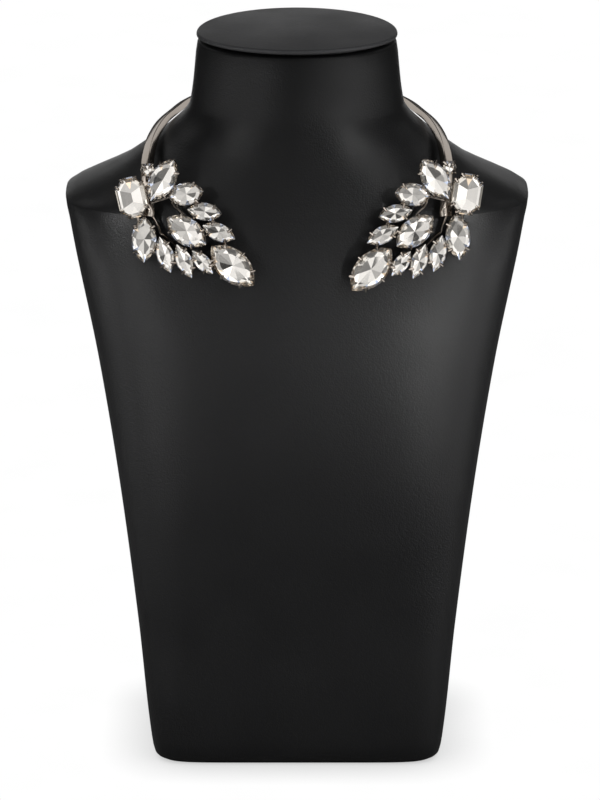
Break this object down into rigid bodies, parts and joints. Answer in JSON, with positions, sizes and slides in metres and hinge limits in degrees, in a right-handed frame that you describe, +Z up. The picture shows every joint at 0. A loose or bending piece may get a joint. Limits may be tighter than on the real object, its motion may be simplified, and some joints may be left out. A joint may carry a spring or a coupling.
{
  "type": "open collar bib necklace on neck bust",
  "caption": "Rigid open collar bib necklace with two wings of claw-set crystals, worn on a plain black neck bust.",
  "frame": {"origin": "on the floor under the middle of the whole's bounding box", "axes": "+Z up along the neck, the wearer's front faces -Y, +X to the right as the picture shows it"},
  "size_m": [0.201, 0.1156, 0.3195],
  "materials": {
    "black_leatherette": "fine-grained black leatherette",
    "lid_leatherette": "fine-grained dark grey leatherette",
    "polished_silver_metal": "polished, slightly warm silver plating",
    "clear_crystal": "clear cut glass with a silver foil back"
  },
  "bodies": {
    "root": {"bust_form": "black_leatherette", "neck_cap": "lid_leatherette", "metalwork": "polished_silver_metal", "left_collar_stone": "clear_crystal", "left_octagon_stone": "clear_crystal", "left_upper_navette": "clear_crystal", "left_inner_upper_navette": "clear_crystal", "left_inner_middle_navette": "clear_crystal", "left_inner_lower_navette": "clear_crystal", "left_centre_navette": "clear_crystal", "left_tip_navette": "clear_crystal", "left_tip_side_navette": "clear_crystal", "left_lower_inner_navette": "clear_crystal", "left_lower_outer_navette": "clear_crystal", "left_outer_navette": "clear_crystal", "right_collar_stone": "clear_crystal", "right_octagon_stone": "clear_crystal", "right_upper_navette": "clear_crystal", "right_inner_upper_navette": "clear_crystal", "right_inner_middle_navette": "clear_crystal", "right_inner_lower_navette": "clear_crystal", "right_centre_navette": "clear_crystal", "right_tip_navette": "clear_crystal", "right_tip_side_navette": "clear_crystal", "right_lower_inner_navette": "clear_crystal", "right_lower_outer_navette": "clear_crystal", "right_outer_navette": "clear_crystal"}
  },
  "joints": []
}
